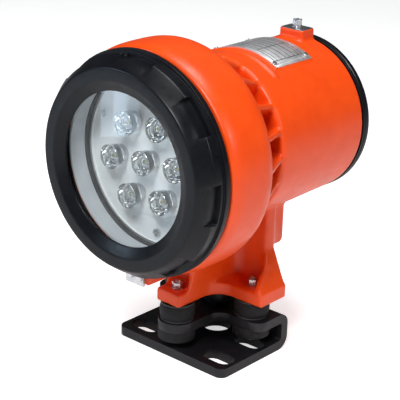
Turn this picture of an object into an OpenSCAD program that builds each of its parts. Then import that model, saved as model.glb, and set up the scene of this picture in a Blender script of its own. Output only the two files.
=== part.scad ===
// Flameproof LED headlamp for mine locomotives and heavy machines.
// A round cast lamp head, screwed shut at both ends, stands on a three-armed foot.
// Three rubber buffers carry the foot on a bent steel bracket with four slots.
// The lamp axis is parallel to Y, and the lamp shines towards -Y.
// The origin is the centre of the four slots, on the underside of the bracket.

/* [Base bracket] */
// Width of the bracket across the lamp
base_w = 130; // [124:1:150]
// Distance from the slot centre to the bracket's front edge
base_front = 40; // [36:1:50]
// Distance from the slot centre to the bracket's rear face
base_back = 53.5; // [50:0.5:60]
// Thickness of the bracket's plate
plate_t = 9; // [7:0.5:10]
// Height of the bracket, over both plates
bracket_h = 36; // [34:1:50]
// Width of each mounting slot
slot_w = 18; // [11:1:20]
// Length of each mounting slot, end to end
slot_len = 32; // [24:1:34]
// Distance between slot centres across the lamp
slot_dx = 90; // [84:1:92]
// Distance between slot centres along the lamp
slot_dy = 43; // [40:1:46]

/* [Rubber buffers] */
// Diameter of each rubber buffer
buffer_d = 33; // [25:1:34]
// Height of each buffer, with its two steel discs
buffer_h = 17.5; // [15:0.5:25]
// Distance from the slot centre forward to the front buffer
buffer_front = 29; // [28:0.5:31]
// Distance from the centre plane to each side buffer
buffer_side = 43.5; // [42:0.5:46]
// Diameter of the buffers' studs
stud_d = 6; // [6:1:8]

/* [Lamp head] */
// Height of the lamp axis above the bracket's underside
axis_h = 198; // [196:1:204]
// Distance from the slot centre forward to the bezel's front face
head_front = 110; // [108:1:114]
// Radius of the bezel's rear lip
lip_r = 99.5; // [98:0.5:101]
// Greatest radius of the cast bell
bell_r = 102.5; // [101:0.5:104]
// Radius of the rear barrel at its front end
barrel_r = 77; // [76:0.5:79]
// Length of the head from the bezel's face to the barrel's end
barrel_end = 247.5; // [244:0.5:260]
// Number of cooling ribs round the neck of the bell
rib_count = 20; // [12:1:24]
// Thickness of each cooling rib
rib_t = 5; // [3:0.5:6]

/* [Light unit] */
// Number of lenses in the ring round the middle one
lens_ring = 6; // [5:1:7]
// Radius of the ring of lenses
lens_ring_r = 37; // [34:0.5:46]
// Diameter of each lens at its front
lens_d = 22; // [18:1:24]

/* [Hidden] */
$fn = 96;

// Paint and material colours
paint = "orangered";
black = "#202022";
zinc = "silver";

// Bracket
bend_r = 12;
web_y = base_back - plate_t;
bend_start = base_back - bend_r - 12.5;
side_y = 28;                          // the side arms and the cable entry are in this row
flange_lobe_r = 17.5;
cable_hole_r = 14;
flange_hole_r = 15.5;

// Buffers: [x, y] of the three
side_stud_y = side_y - 2.5;
buffers = [[0, -buffer_front], [-buffer_side, side_stud_y], [buffer_side, side_stud_y]];
disc_t = 1.5;
disc_r = buffer_d / 2 - 1;
stud_r = stud_d / 2;
stud_hole_r = stud_r + 0.6;
nut_r = 5.75;                         // across the corners, halved
nut_h = 5;
washer_t = 1.2;
washer_r = 6;
lower_pad_r = 17.5;
lower_pad_h = 9.5;
stud_len = bracket_h - plate_t - 0.8; // the lower studs end just above the bottom plate
fit = 0.06;                           // radial clearance of studs in nuts and washers

// Foot of the casting
foot_z = bracket_h + buffer_h;
foot_t = 12.5;
foot_top = foot_z + foot_t;
foot_front_w = 28;
foot_side_w = 36;
foot_reach = 22.5;                    // from a side buffer's centre to the arm's end
web_front = side_y + 6;
web_back = side_y + 18;
cove_r = 12;                          // in the corners between the two walls

// Sections of the head, as [radius, distance behind the bezel's face]
thread_r = 88.6;
thread_gap = 0.4;
throat_r = 67.3;
face_in_r = 77;
face_out_r = 87.7;
pad_r = 97.4;
pad_y = 14;
lip_y = 24.5;
bezel_end = 29.5;
notch_floor_r = 93.5;
notch_end = 20;
notch_count = 8;
notch_angle = 21;
notch_turn = 40;

slip_y = 7;
slip_t = 1;
glass_y = slip_y + slip_t;
glass_t = 12;
glass_r = 84;
gasket_t = 2;
seat_y = glass_y + glass_t + gasket_t;
chamber_r = 80.3;
sleeve_end = 39;
wall_y = 50;                          // front of the wall that the light unit is screwed to
wall_t = 9;
shoulder_y = 33;
bell_end = 86;
core_r = 60;
core_bore_r = 50;
barrel_y = 126;
tray_y = 135;
barrel_bore_r = 66;
barrel_end_r = barrel_r - 2;          // the barrel tapers towards the rear

plate_r = 77;
led_plate_y = 44;
pad_thick = 1;
board_t = 1.6;
lens_h = 14;
lens_turn = 5;

cover_y = barrel_end + 1;
cover_t = 11;
cover_r = 75.4;
cover_spigot = 15;

boss_w = 27;
boss_y = 117;
boss_d = barrel_end - head_front - boss_y;
boss_top = axis_h + 84.5;

name_y = 159;
name_len = 51;
name_half = 30;                       // half of the nameplate's angle
name_r = barrel_r + 0.2;
name_t = 0.8;
pad_half = 31;                        // half of the angle of the flat bed below the nameplate
bead_half = 37;                       // half of the angle of the bead in front of it
bead_y = name_y - 8;

web_half = 50;
web_flare_z = foot_top + 33;
web_top = axis_h - 56;
block_half = 47;
block_back = 62;
recess_r = 10;                        // room round each buffer's nut
recess_top = foot_top + 22;
gusset_z = foot_top + 14;
gusset_r = 36;

lock_x0 = -22;
lock_x1 = -1;
lock_y = 35.5;
lock_t = 3;
lug_end = 86;
lock_z = axis_h - bell_r - 7;
lock_screw_x = [lock_x0 + 6, lock_x1 - 4];

gland_h = 14.5;

plate_screw_angles = [35, 155, 275];
plate_screw_r = 66;
lead_x = [-3.5, 3.5];
lead_z = 18.5;

tray_t = 2.5;
tray_screw_angles = [90, 205, 335];
tray_screw_r = 57.5;
standoff_h = 8;
board_w = 84;
board_l = 54;
board_holes = [for (x = [-38, 38], z = [-23, 23]) [x, z]];

entry_r = 6;                          // the cable entry
gland_r = 17;
gland_thread_r = 12;
gland_neck_r = 9.6;
gland_nut_r = 12.4;                   // across the corners, halved

// Turns a lamp section about the lamp axis: X stays X and the section's height runs to +Y
module along_lamp(y = 0) {
    translate([0, y - head_front, axis_h]) rotate([-90, 0, 0]) children();
}

// Revolves points [radius, distance behind the bezel's face]
module lathe(points) {
    along_lamp() rotate_extrude() polygon(points);
}

// A flat ring round the lamp axis
module lamp_ring(outer, inner, from, to) {
    along_lamp(from) difference() {
        cylinder(r = outer, h = to - from);
        translate([0, 0, -1]) cylinder(r = inner, h = to - from + 2);
    }
}

// Puts its children at a radius and an angle round the lamp axis, angle 0 at +X, up at 90
module at_angle(angle, radius = 0) {
    translate([0, 0, axis_h]) rotate([0, -angle, 0]) translate([radius, 0, -axis_h])
        children();
}

module at_buffers() {
    for (p = buffers) translate([p[0], p[1], 0]) children();
}

// An outline with a front arm and two side arms, and round corners between them
module three_arms(front_half, front_end, side_half, side_end, cove) {
    difference() {
        union() {
            translate([-front_half, front_end])
                square([2 * front_half, side_y - front_end]);
            translate([-side_end, side_y - side_half])
                square([2 * side_end, 2 * side_half]);
            translate([-front_half - cove, side_y - side_half - cove])
                square([2 * (front_half + cove), cove + 1]);
        }
        for (s = [-1, 1])
            translate([s * (front_half + cove), side_y - side_half - cove]) circle(r = cove);
    }
}

module slot_outline() {
    for (s = [-1, 1])
        translate([s * (slot_len - slot_w) / 2, 0]) circle(r = slot_w / 2);
    square([slot_len - slot_w, slot_w], center = true);
}

// ---------------------------------------------------------------- bracket and buffers

// The bracket's rear, bent twice, from the bottom plate to the top flange
module bracket_bend() {
    inner = bend_r - plate_t;
    low = plate_t;
    high = bracket_h - plate_t;
    rotate([90, 0, 90]) linear_extrude(base_w, center = true) difference() {
        union() {
            translate([bend_start, 0]) square([12.5, bracket_h]);
            translate([bend_start, bend_r])
                square([base_back - bend_start, bracket_h - 2 * bend_r]);
            for (z = [bend_r, bracket_h - bend_r])
                translate([base_back - bend_r, z]) circle(r = bend_r);
        }
        translate([bend_start - 1, low])
            square([web_y - inner - bend_start + 1, high - low]);
        translate([bend_start - 1, low + inner])
            square([web_y - bend_start + 1, high - low - 2 * inner]);
        for (z = [low + inner, high - inner])
            translate([web_y - inner, z]) circle(r = inner);
    }
}

// Outline of the bottom plate, with round front corners
module bottom_outline() {
    corner_r = 8;
    translate([-base_w / 2, corner_r - base_front])
        square([base_w, base_front + bend_start + 1 - corner_r]);
    translate([corner_r - base_w / 2, -base_front])
        square([base_w - 2 * corner_r, corner_r + 1]);
    for (s = [-1, 1])
        translate([s * (base_w / 2 - corner_r), corner_r - base_front])
            circle(r = corner_r);
}

// Outline of the top flange, with round ends on its front arm and side arms
module flange_outline() {
    corner_r = 12;
    difference() {
        three_arms(flange_lobe_r, -buffer_front, 18, base_w / 2, 14);
        translate([-base_w, bend_start + 1]) square([2 * base_w, base_w]);
        for (s = [-1, 1])
            translate([s * (base_w / 2 - corner_r / 2), side_y - 18 + corner_r / 2])
                square(corner_r + 0.1, center = true);
    }
    for (s = [-1, 1])
        translate([s * (base_w / 2 - corner_r), side_y - 18 + corner_r])
            circle(r = corner_r);
    translate([0, -buffer_front]) circle(r = flange_lobe_r);
}

module base_bracket() {
    color(black) difference() {
        union() {
            bracket_bend();
            linear_extrude(plate_t) bottom_outline();
            translate([0, 0, bracket_h - plate_t]) linear_extrude(plate_t)
                flange_outline();
        }
        translate([0, 0, -1]) linear_extrude(plate_t + 2)
            for (x = [-slot_dx / 2, slot_dx / 2], y = [-slot_dy / 2, slot_dy / 2])
                translate([x, y]) slot_outline();
        translate([0, side_y, -1]) cylinder(r = cable_hole_r, h = plate_t + 2);
        translate([0, side_y, bracket_h - plate_t - 1])
            cylinder(r = flange_hole_r, h = plate_t + 2);
        at_buffers() translate([0, 0, bracket_h - plate_t - 1])
            cylinder(r = stud_hole_r, h = plate_t + 2);
    }
}

// A buffer's steel disc with its stud, the stud pointing down
module disc_with_stud() {
    cylinder(r = disc_r, h = disc_t);
    translate([0, 0, -stud_len]) cylinder(r = stud_r - 0.1, h = stud_len);
}

module hex_nut(r, h, bore) {
    difference() {
        cylinder(r = r, h = h, $fn = 6);
        translate([0, 0, -1]) cylinder(r = bore, h = h + 2);
    }
}

module washer(r, t, bore) {
    difference() {
        cylinder(r = r, h = t);
        translate([0, 0, -1]) cylinder(r = bore, h = t + 2);
    }
}

module buffer_discs_lower() {
    color(zinc) at_buffers() translate([0, 0, bracket_h]) disc_with_stud();
}

module buffer_washers_lower() {
    color(zinc) at_buffers()
        translate([0, 0, bracket_h - plate_t - lower_pad_h - washer_t])
            washer(washer_r, washer_t, stud_r + fit);
}

module buffer_nuts_lower() {
    color(zinc) at_buffers()
        translate([0, 0, bracket_h - plate_t - lower_pad_h - washer_t - nut_h])
            hex_nut(nut_r, nut_h, stud_r + fit);
}

// Rubber pads under the flange; the two at the sides are cut flat in front of the bend
module buffer_pads_lower() {
    color(black) difference() {
        at_buffers() translate([0, 0, bracket_h - plate_t - lower_pad_h])
            washer(lower_pad_r, lower_pad_h, stud_r + fit);
        translate([-base_w, web_y - 3.5, plate_t])
            cube([2 * base_w, 20, bracket_h - plate_t]);
    }
}

module rubber_buffer(i) {
    color(black) translate([buffers[i][0], buffers[i][1], bracket_h + disc_t])
        cylinder(r = buffer_d / 2, h = buffer_h - 2 * disc_t);
}

module buffer_front() { rubber_buffer(0); }
module buffer_left() { rubber_buffer(1); }
module buffer_right() { rubber_buffer(2); }

module buffer_discs_upper() {
    color(zinc) at_buffers() translate([0, 0, foot_z]) mirror([0, 0, 1]) {
        cylinder(r = disc_r, h = disc_t);
        translate([0, 0, -foot_t - washer_t - nut_h - 1.8])
            cylinder(r = stud_r - 0.1, h = foot_t + washer_t + nut_h + 1.8);
    }
}

module buffer_washers_upper() {
    color(zinc) at_buffers() translate([0, 0, foot_top])
        washer(washer_r, washer_t, stud_r + fit);
}

module buffer_nuts_upper() {
    color(zinc) at_buffers() translate([0, 0, foot_top + washer_t])
        hex_nut(nut_r, nut_h, stud_r + fit);
}

// ---------------------------------------------------------------- the casting

// One cooling rib at angle 0: its outer edge slopes from the bell's rim to the barrel
module cooling_rib() {
    translate([0, -head_front, axis_h - rib_t / 2]) linear_extrude(rib_t)
        polygon([
            [core_r - 3, 70], [92, 80], [95.5, bell_end - 1], [barrel_r - 1.2, barrel_y + 1],
            [core_r - 3, barrel_y + 2]
        ]);
}

// A slightly raised bed for the nameplate, and a bead round the barrel in front of it
module nameplate_pad() {
    along_lamp() rotate([0, 0, -90 - pad_half]) rotate_extrude(angle = 2 * pad_half)
        translate([barrel_end_r - 2, name_y - 1])
            square([name_r - barrel_end_r + 2, name_len + 2]);
    along_lamp() rotate([0, 0, -90 - bead_half]) rotate_extrude(angle = 2 * bead_half)
        polygon([
            [barrel_end_r - 2, bead_y - 2.6], [barrel_r - 0.2, bead_y - 2.6],
            [barrel_r + 1.4, bead_y - 1.3], [barrel_r + 1.4, bead_y + 1.3],
            [barrel_r - 0.2, bead_y + 2.6], [barrel_end_r - 2, bead_y + 2.6]
        ]);
}

// The block for the earth screw, on top of the barrel's rear end
module earth_boss() {
    r = 3;
    translate([0, boss_y + boss_d / 2, axis_h + 60])
        linear_extrude(boss_top - axis_h - 60) {
            square([boss_w - 2 * r, boss_d], center = true);
            square([boss_w, boss_d - 2 * r], center = true);
            for (x = [-1, 1], y = [-1, 1])
                translate([x * (boss_w / 2 - r), y * (boss_d / 2 - r)]) circle(r = r);
        }
}

// A lug under the bell that the bezel's lock plate is screwed to
module lock_lug() {
    z0 = axis_h - bell_r - 14;
    translate([lock_x0 + 3, lock_y + lock_t - head_front, z0])
        cube([lock_x1 - lock_x0 + 1, lug_end - lock_y - lock_t, 24]);
}

module foot() {
    translate([0, 0, foot_z]) linear_extrude(foot_t)
        three_arms(foot_front_w / 2, -buffer_front - foot_front_w / 2,
                   foot_side_w / 2, buffer_side + foot_reach, 18);
}

// The upright wall across the foot, flared out to the ends of the side arms
module cross_web() {
    reach = buffer_side + foot_reach;
    translate([0, web_back, 0]) rotate([90, 0, 0]) linear_extrude(web_back - web_front)
        polygon([
            [-reach, foot_top - 1], [reach, foot_top - 1], [reach, foot_top],
            [reach - 3, foot_top + 4], [web_half, web_flare_z], [web_half, web_top],
            [-web_half, web_top], [-web_half, web_flare_z], [3 - reach, foot_top + 4],
            [-reach, foot_top]
        ]);
    // block behind the wall, with a round lower corner
    corner = 5;
    rotate([90, 0, 90]) linear_extrude(2 * block_half, center = true) {
        translate([web_back - 1, web_flare_z])
            square([block_back - web_back + 1 - corner, web_top - 3 - web_flare_z]);
        translate([web_back - 1, web_flare_z + corner])
            square([block_back - web_back + 1, web_top - 3 - web_flare_z - corner]);
        translate([block_back - corner, web_flare_z + corner]) circle(r = corner);
    }
}

// The wall's thinner edge, carried forward at one end: side is 1 or -1
module cheek(side) {
    reach = buffer_side + foot_reach;
    band = [
        [reach - 6, foot_z + 1], [reach, foot_z + 1], [reach, foot_top],
        [reach - 3, foot_top + 4], [web_half, web_flare_z], [web_half, web_flare_z + 11],
        [web_half - 5.5, web_flare_z + 11], [web_half - 5.5, web_flare_z - 2],
        [reach - 9, foot_top + 3], [reach - 6, foot_top]
    ];
    intersection() {
        translate([0, web_back, 0]) rotate([90, 0, 0]) linear_extrude(60)
            polygon([for (p = band) [side * p[0], p[1]]]);
        rotate([90, 0, 90]) linear_extrude(3 * reach, center = true) polygon([
            [side_y - 18, foot_top - 1], [side_y - 18, foot_top + 3],
            [side_y - 4, foot_top + 16], [side_y + 5, foot_top + 30],
            [side_y + 6, foot_top + 38], [web_back, foot_top + 38],
            [web_back, foot_top - 1]
        ]);
    }
}

// The upright wall from the front arm to the cross web, under the bell and the core
module long_web() {
    half = foot_front_w / 2;
    front = bell_end - head_front - 1;
    rotate([90, 0, 90]) linear_extrude(foot_front_w, center = true)
        polygon([
            [-buffer_front - 2.3, foot_top - 1], [web_front + 1, foot_top - 1],
            [web_front + 1, axis_h - 55], [front + 4, axis_h - 55],
            [front, axis_h - bell_r + 6], [front, foot_top + 17],
            [0.4 - buffer_front, foot_top + 7]
        ]);
    // coves in the corners to the cross web
    translate([0, 0, foot_top - 1]) linear_extrude(web_top - foot_top + 1) difference() {
        translate([-half - cove_r, web_front - cove_r])
            square([2 * (half + cove_r), cove_r + 1]);
        for (s = [-1, 1])
            translate([s * (half + cove_r), web_front - cove_r]) circle(r = cove_r);
    }
    // gusset, widening upwards to the bell's rear rim
    translate([0, front + 14, 0]) rotate([90, 0, 0]) linear_extrude(14.5) difference() {
        translate([-half - gusset_r, gusset_z])
            square([2 * (half + gusset_r), gusset_r]);
        for (s = [-1, 1])
            translate([s * (half + gusset_r), gusset_z]) circle(r = gusset_r);
    }
}

// The way of one LED lead, parallel to the lamp axis
module lead_hole(x, from, length, r) {
    translate([x, from - head_front, axis_h + lead_z]) rotate([-90, 0, 0])
        cylinder(r = r, h = length);
}

module housing() {
    color(paint) difference() {
        union() {
            lathe([
                [20, 12.5], [thread_r, 12.5], [thread_r, shoulder_y],
                [98.5, shoulder_y], [100.8, 37], [bell_r, 45], [bell_r, 70], [101.5, 78],
                [99, 84], [96.5, bell_end], [93, bell_end], [91.5, 79], [core_r, 72],
                [core_r, barrel_y], [barrel_r - 2.5, barrel_y],
                [barrel_r, barrel_y + 2.5], [barrel_end_r, barrel_end], [20, barrel_end]
            ]);
            for (i = [0:rib_count - 1]) at_angle(i * 360 / rib_count) cooling_rib();
            nameplate_pad();
            earth_boss();
            lock_lug();
            foot();
            cross_web();
            cheek(-1);
            cheek(1);
            long_web();
        }
        // chambers for the light unit and the driver
        lathe([
            [0, -1], [glass_r + 0.3, -1], [glass_r + 0.3, seat_y], [chamber_r, seat_y],
            [chamber_r, wall_y], [0, wall_y]
        ]);
        lathe([
            [0, wall_y + wall_t], [core_bore_r, wall_y + wall_t], [core_bore_r, tray_y],
            [barrel_bore_r, tray_y], [barrel_bore_r, barrel_end + 1], [0, barrel_end + 1]
        ]);
        // buffer studs, and room for their nuts
        at_buffers() cylinder(r = stud_hole_r, h = foot_top + 1);
        for (s = [-1, 1])
            translate([s * buffer_side, side_stud_y, foot_top])
                cylinder(r = recess_r, h = recess_top - foot_top);
        // a notch in each cheek's front edge
        for (s = [-1, 1])
            translate([s * (buffer_side + foot_reach - 9), side_y + 3, foot_top + 12])
                cylinder(r = 3, h = 8);
        translate([0, -buffer_front, foot_top]) cylinder(r = recess_r + 1, h = 18);
        // cable way from the gland to the driver chamber
        translate([0, side_y, foot_z - 1]) cylinder(r = gland_thread_r + fit, h = 20);
        translate([0, side_y, foot_z]) cylinder(r = 8, h = axis_h - foot_z - 60);
        // holes for the leads and the screws
        for (x = lead_x) lead_hole(x, wall_y - 1, wall_t + 2, 3);
        translate([0, boss_y + boss_d / 2, boss_top - 14]) cylinder(r = 2.6, h = 15);
        for (a = plate_screw_angles) at_angle(a, plate_screw_r)
            translate([0, wall_y - 1 - head_front, axis_h]) rotate([-90, 0, 0])
                cylinder(r = 2.1, h = 7);
        for (a = tray_screw_angles) at_angle(a, tray_screw_r)
            translate([0, tray_y - 7 - head_front, axis_h]) rotate([-90, 0, 0])
                cylinder(r = 2.1, h = 8);
        for (x = lock_screw_x) translate([x, lock_y + lock_t - 1 - head_front, lock_z])
            rotate([-90, 0, 0]) cylinder(r = 2.1, h = 10);
    }
}

// ---------------------------------------------------------------- cable gland

module gland_body() {
    color(black) translate([0, side_y, 0]) difference() {
        union() {
            translate([0, 0, foot_z - gland_h]) cylinder(r = gland_r, h = gland_h);
            translate([0, 0, foot_z]) cylinder(r = gland_thread_r, h = 18);
            translate([0, 0, foot_z - gland_h - 10]) cylinder(r = gland_neck_r, h = 11);
        }
        translate([0, 0, foot_z - gland_h - 11]) cylinder(r = entry_r + 0.4, h = 50);
        translate([0, 0, foot_z - gland_h - 11]) cylinder(r = 8.1, h = 11);
    }
}

module gland_seal() {
    color(black) translate([0, side_y, foot_z - gland_h - 10.2])
        washer(8, 10.1, entry_r);
}

module gland_nut() {
    color(black) translate([0, side_y, foot_z - gland_h - 14]) difference() {
        cylinder(r = gland_nut_r, h = 13.8, $fn = 6);
        translate([0, 0, -1]) cylinder(r = entry_r, h = 16);
        translate([0, 0, 3.6]) cylinder(r = gland_neck_r + fit, h = 12);
    }
}

// ---------------------------------------------------------------- bezel and its lock

module bezel_ring() {
    color(black) difference() {
        lathe([
            [throat_r, 5.1], [face_in_r, 0], [face_out_r, 0], [pad_r, pad_y],
            [pad_r, lip_y], [lip_r, lip_y], [lip_r, bezel_end],
            [thread_r + thread_gap, bezel_end], [thread_r + thread_gap, 11.5],
            [glass_r + 1, 11.5], [glass_r + 1, slip_y], [throat_r, slip_y]
        ]);
        // spanner notches
        for (i = [0:notch_count - 1])
            along_lamp(-1) rotate([0, 0, -notch_turn - notch_angle / 2 - i * 360 / notch_count])
                rotate_extrude(angle = notch_angle)
                    translate([notch_floor_r, 0]) square([10, notch_end + 1]);
    }
}

module bezel_slip_ring() {
    color("ivory") lamp_ring(glass_r - 1, 69, slip_y + 0.02, slip_y + slip_t - 0.02);
}

module lock_plate() {
    top = axis_h - bell_r + 0.6;
    color(zinc) difference() {
        translate([lock_x0, lock_y - head_front, lock_z - 8])
            cube([lock_x1 - lock_x0, lock_t, top - lock_z + 8]);
        for (x = lock_screw_x) translate([x, lock_y - 1 - head_front, lock_z])
            rotate([-90, 0, 0]) cylinder(r = 2.2, h = lock_t + 2);
    }
}

// A screw along +Y with a round head in front of y = 0
module pan_screw(head_r, head_h, shank_r, shank_l) {
    rotate([90, 0, 0]) cylinder(r = head_r, h = head_h);
    rotate([-90, 0, 0]) cylinder(r = shank_r, h = shank_l);
}

module lock_plate_screws() {
    color(zinc) for (x = lock_screw_x)
        translate([x, lock_y - head_front, lock_z]) pan_screw(3.5, 2.6, 2, 10);
}

// ---------------------------------------------------------------- light unit

module front_glass() {
    color("lightblue", 0.4) lathe([
        [0, glass_y], [glass_r - 1.5, glass_y], [glass_r, glass_y + 1.5],
        [glass_r, glass_y + glass_t], [0, glass_y + glass_t]
    ]);
}

module glass_gasket() {
    color(black) lamp_ring(glass_r, chamber_r + 0.2, seat_y - gasket_t, seat_y);
}

module inner_sleeve() {
    color("gainsboro") lamp_ring(chamber_r - 0.2, chamber_r - 2, seat_y, sleeve_end);
}

// Centres the LED plate and holds it off the sleeve
module spacer_ring() {
    color(black)
        lamp_ring(chamber_r - 0.2, plate_r + 0.4, sleeve_end + 0.1, wall_y - 0.1);
}

// Angles of the lens centres, and their radii
lens_places = concat([[0, 0]],
    [for (i = [0:lens_ring - 1]) [lens_turn + i * 360 / lens_ring, lens_ring_r]]);

module at_lenses(y) {
    for (p = lens_places) at_angle(p[0], p[1])
        translate([0, y - head_front, axis_h]) rotate([-90, 0, 0]) children();
}

module at_plate_screws(y) {
    for (a = plate_screw_angles) at_angle(a, plate_screw_r)
        translate([0, y - head_front, axis_h]) children();
}

module led_plate() {
    color("whitesmoke") difference() {
        lathe([
            [0, led_plate_y + 2], [plate_r - 2, led_plate_y + 2],
            [plate_r - 2, led_plate_y], [plate_r, led_plate_y],
            [plate_r, wall_y - pad_thick], [0, wall_y - pad_thick]
        ]);
        at_plate_screws(led_plate_y - 1) rotate([-90, 0, 0]) cylinder(r = 2.2, h = 9);
        for (x = lead_x) lead_hole(x, led_plate_y - 1, 9, 1.6);
    }
}

module thermal_pad() {
    color("lightgray") difference() {
        along_lamp(wall_y - pad_thick) cylinder(r = 60, h = pad_thick);
        for (x = lead_x) lead_hole(x, wall_y - 2, 3, 1.6);
    }
}

module led_board() {
    color("white") difference() {
        along_lamp(led_plate_y + 2 - board_t) cylinder(r = 52, h = board_t);
        for (x = lead_x) lead_hole(x, led_plate_y - 1, 5, 1.6);
    }
}

module led_emitters() {
    front = led_plate_y + 2 - board_t - 2.4;
    color("khaki") at_lenses(front) cylinder(r = 3.5, h = 2.4);
}

// Cups on the board that hold the lenses by their narrow ends
module lens_holders() {
    front = led_plate_y + 2 - board_t - 7;
    color("white") at_lenses(front) rotate_extrude()
        polygon([[8.2, 0], [9.6, 0], [8, 7], [6.4, 7], [6.4, 4.5]]);
}

module lenses() {
    back = led_plate_y + 2 - board_t - 2.5;
    color("azure", 0.5) at_lenses(back - lens_h) rotate_extrude() polygon([
        [0, 0], [lens_d / 2, 0], [lens_d / 2, 1.6], [6.1, lens_h], [3.8, lens_h],
        [3.8, lens_h - 3], [0, lens_h - 3]
    ]);
}

module led_plate_screws() {
    color(zinc) at_plate_screws(led_plate_y + 2) pan_screw(3.6, 2.6, 2, 8);
}

// Two leads from the driver board, through the tray and the wall, to the LED board
module led_leads() {
    from = led_plate_y + 2 - board_t - 0.5;
    color("firebrick") for (x = lead_x)
        lead_hole(x, from, tray_y + tray_t + standoff_h - from, 1.4);
}

// ---------------------------------------------------------------- driver

module driver_tray() {
    color("silver") difference() {
        along_lamp(tray_y) cylinder(r = barrel_bore_r - 0.5, h = tray_t);
        translate([-60, tray_y - 1 - head_front, axis_h - 80]) cube([120, tray_t + 2, 34]);
        for (x = lead_x) lead_hole(x, tray_y - 1, tray_t + 2, 2);
        for (a = tray_screw_angles) at_angle(a, tray_screw_r)
            translate([0, tray_y - 1 - head_front, axis_h]) rotate([-90, 0, 0])
                cylinder(r = 2.2, h = tray_t + 2);
        for (p = board_holes)
            translate([p[0], tray_y - 1 - head_front, axis_h + p[1]]) rotate([-90, 0, 0])
                cylinder(r = 1.3, h = tray_t + 2);
    }
}

module tray_screws() {
    color(zinc) for (a = tray_screw_angles) at_angle(a, tray_screw_r)
        translate([0, tray_y + tray_t - head_front, axis_h]) mirror([0, 1, 0])
            pan_screw(3.6, 2.6, 2, 9);
}

module board_standoffs() {
    color("gold") for (p = board_holes)
        translate([p[0], tray_y + tray_t - head_front, axis_h + p[1]]) rotate([-90, 0, 0]) {
            cylinder(r = 2.8, h = standoff_h, $fn = 6);
            translate([0, 0, standoff_h + board_t]) cylinder(r = 2.6, h = 2);
            translate([0, 0, standoff_h]) cylinder(r = 1.3, h = board_t);
        }
}

module driver_board() {
    y = tray_y + tray_t + standoff_h - head_front;
    color("darkgreen") difference() {
        translate([-board_w / 2, y, axis_h - board_l / 2]) cube([board_w, board_t, board_l]);
        for (p = board_holes)
            translate([p[0], y - 1, axis_h + p[1]]) rotate([-90, 0, 0])
                cylinder(r = 1.3, h = board_t + 2);
    }
}

// The driver's transformer, choke, capacitors and heat sink
module driver_parts() {
    y = tray_y + tray_t + standoff_h + board_t - head_front;
    translate([0, y, axis_h]) {
        color("goldenrod") translate([-16, 0, -12]) cube([24, 20, 22]);
        color("dimgray") for (z = [-12, 4]) translate([22, 0, z]) rotate([-90, 0, 0])
            cylinder(r = 6, h = 22);
        color("silver") for (i = [0:3]) translate([-36, 0, -20 + i * 5]) cube([14, 16, 2]);
        color("maroon") translate([-34, 0, 8]) rotate([-90, 0, 0]) washer(7, 9, 3);
    }
}

module terminal_block() {
    color("ivory") difference() {
        translate([-18, tray_y + tray_t - head_front, axis_h + 36]) cube([36, 14, 12]);
        for (x = [-12, 0, 12])
            translate([x, tray_y + tray_t + 4 - head_front, axis_h + 42]) rotate([-90, 0, 0])
                cylinder(r = 2.4, h = 12);
    }
}

// ---------------------------------------------------------------- rear cover

module rear_cover() {
    back = cover_y + cover_t;
    color(black) difference() {
        lathe([
            [0, back - 7], [58, back - 7], [58, cover_y - cover_spigot],
            [barrel_bore_r - thread_gap, cover_y - cover_spigot],
            [barrel_bore_r - thread_gap, cover_y], [cover_r, cover_y],
            [cover_r, back - 2.5], [cover_r - 2.5, back], [56, back], [54, back - 1.5],
            [0, back - 1.5]
        ]);
        for (a = [0:90:270]) at_angle(a, 40)
            translate([0, back - 5 - head_front, axis_h]) rotate([-90, 0, 0])
                cylinder(r = 4, h = 6);
    }
}

module rear_gasket() {
    color(black) lamp_ring(73.5, barrel_bore_r + 0.4, barrel_end + 0.02, cover_y - 0.02);
}

// ---------------------------------------------------------------- top fittings

rivet_places = [for (a = [90 - name_half + 4, 90 + name_half - 4],
                     y = [name_y + 3, name_y + name_len - 3]) [a, y]];

module nameplate() {
    color("silver") difference() {
        along_lamp() rotate([0, 0, -90 - name_half]) rotate_extrude(angle = 2 * name_half)
            translate([name_r, name_y]) square([name_t, name_len]);
        for (p = rivet_places) at_angle(p[0], name_r - 1)
            translate([0, p[1] - head_front, axis_h]) rotate([0, 90, 0])
                cylinder(r = 1.4, h = 3);
    }
}

module nameplate_rivets() {
    color("silver") for (p = rivet_places)
        at_angle(p[0], name_r) translate([0, p[1] - head_front, axis_h])
            rotate([0, 90, 0]) {
                cylinder(r = 1.3, h = name_t + 0.25);
                translate([0, 0, name_t + 0.2]) cylinder(r = 2.2, h = 0.9);
            }
}

module earth_washers() {
    color(zinc) translate([0, boss_y + boss_d / 2, boss_top]) {
        washer(5.5, 1, 2.6);
        translate([0, 0, 1]) washer(4.4, 1.3, 2.6);
    }
}

module earth_screw() {
    color(zinc) translate([0, boss_y + boss_d / 2, boss_top + 2.3]) difference() {
        union() {
            cylinder(r = 4.6, h = 5, $fn = 6);
            translate([0, 0, -14]) cylinder(r = 2.5, h = 15);
        }
        for (a = [0, 90]) rotate([0, 0, a]) translate([-4, -0.6, 3.6]) cube([8, 1.2, 3]);
    }
}

base_bracket();
buffer_discs_lower();
buffer_washers_lower();
buffer_nuts_lower();
buffer_pads_lower();
buffer_front();
buffer_left();
buffer_right();
buffer_discs_upper();
buffer_washers_upper();
buffer_nuts_upper();
housing();
gland_body();
gland_seal();
gland_nut();
bezel_ring();
bezel_slip_ring();
lock_plate();
lock_plate_screws();
front_glass();
glass_gasket();
inner_sleeve();
spacer_ring();
led_plate();
thermal_pad();
led_board();
led_emitters();
lens_holders();
lenses();
led_plate_screws();
led_leads();
driver_tray();
tray_screws();
board_standoffs();
driver_board();
driver_parts();
terminal_block();
rear_cover();
rear_gasket();
nameplate();
nameplate_rivets();
earth_screw();
earth_washers();
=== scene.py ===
import math
import bmesh
import bpy
import numpy as np
from mathutils import Matrix, Vector


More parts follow.
